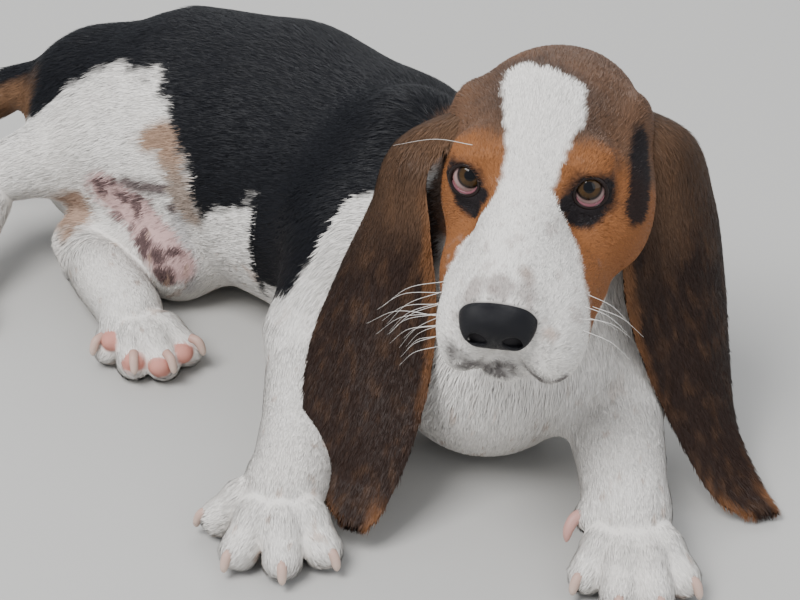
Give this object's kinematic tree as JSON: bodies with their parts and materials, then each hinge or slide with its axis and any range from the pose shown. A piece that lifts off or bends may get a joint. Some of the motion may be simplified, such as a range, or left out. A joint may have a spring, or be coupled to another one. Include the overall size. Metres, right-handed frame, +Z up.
{
  "type": "basset hound puppy figure",
  "caption": "Life-size lying basset hound puppy with long hanging ears, short legs, a white blaze and a black saddle, head raised.",
  "frame": {"origin": "middle of the bounding box on the floor plane", "axes": "+X to the dog's left, along the longest extent; -Y the way the face looks; +Z up from the floor"},
  "size_m": [0.5468, 0.4128, 0.1977],
  "materials": {
    "white_coat": "short white fur",
    "black_coat": "short glossy black fur",
    "brown_coat": "short brown and tan fur with a white blaze",
    "ear_coat": "smooth dark brown fur",
    "nose_leather": "moist black nose leather",
    "eye": "wet brown eye",
    "claw": "pinkish horn"
  },
  "bodies": {
    "root": {"chest": "white_coat", "ear_left": "ear_coat", "ear_right": "ear_coat", "eye_left": "eye", "eye_right": "eye", "fore_left_claw_1": "claw", "fore_left_claw_2": "claw", "fore_left_claw_3": "claw", "fore_left_claw_4": "claw", "fore_left_dewclaw": "claw", "fore_left_lower": "white_coat", "fore_left_paw": "white_coat", "fore_left_upper": "white_coat", "fore_right_claw_1": "claw", "fore_right_claw_2": "claw", "fore_right_claw_3": "claw", "fore_right_claw_4": "claw", "fore_right_lower": "white_coat", "fore_right_paw": "white_coat", "fore_right_upper": "white_coat", "head": "brown_coat", "hind_left_claw_1": "claw", "hind_left_claw_2": "claw", "hind_left_claw_3": "claw", "hind_left_claw_4": "claw", "hind_left_lower": "white_coat", "hind_left_paw": "white_coat", "hind_left_upper": "white_coat", "hind_right_claw_1": "claw", "hind_right_claw_2": "claw", "hind_right_claw_3": "claw", "hind_right_claw_4": "claw", "hind_right_lower": "white_coat", "hind_right_paw": "white_coat", "hind_right_upper": "white_coat", "loin": "black_coat", "neck": "white_coat", "nose": "nose_leather", "rump": "black_coat", "tail": "black_coat"}
  },
  "joints": []
}
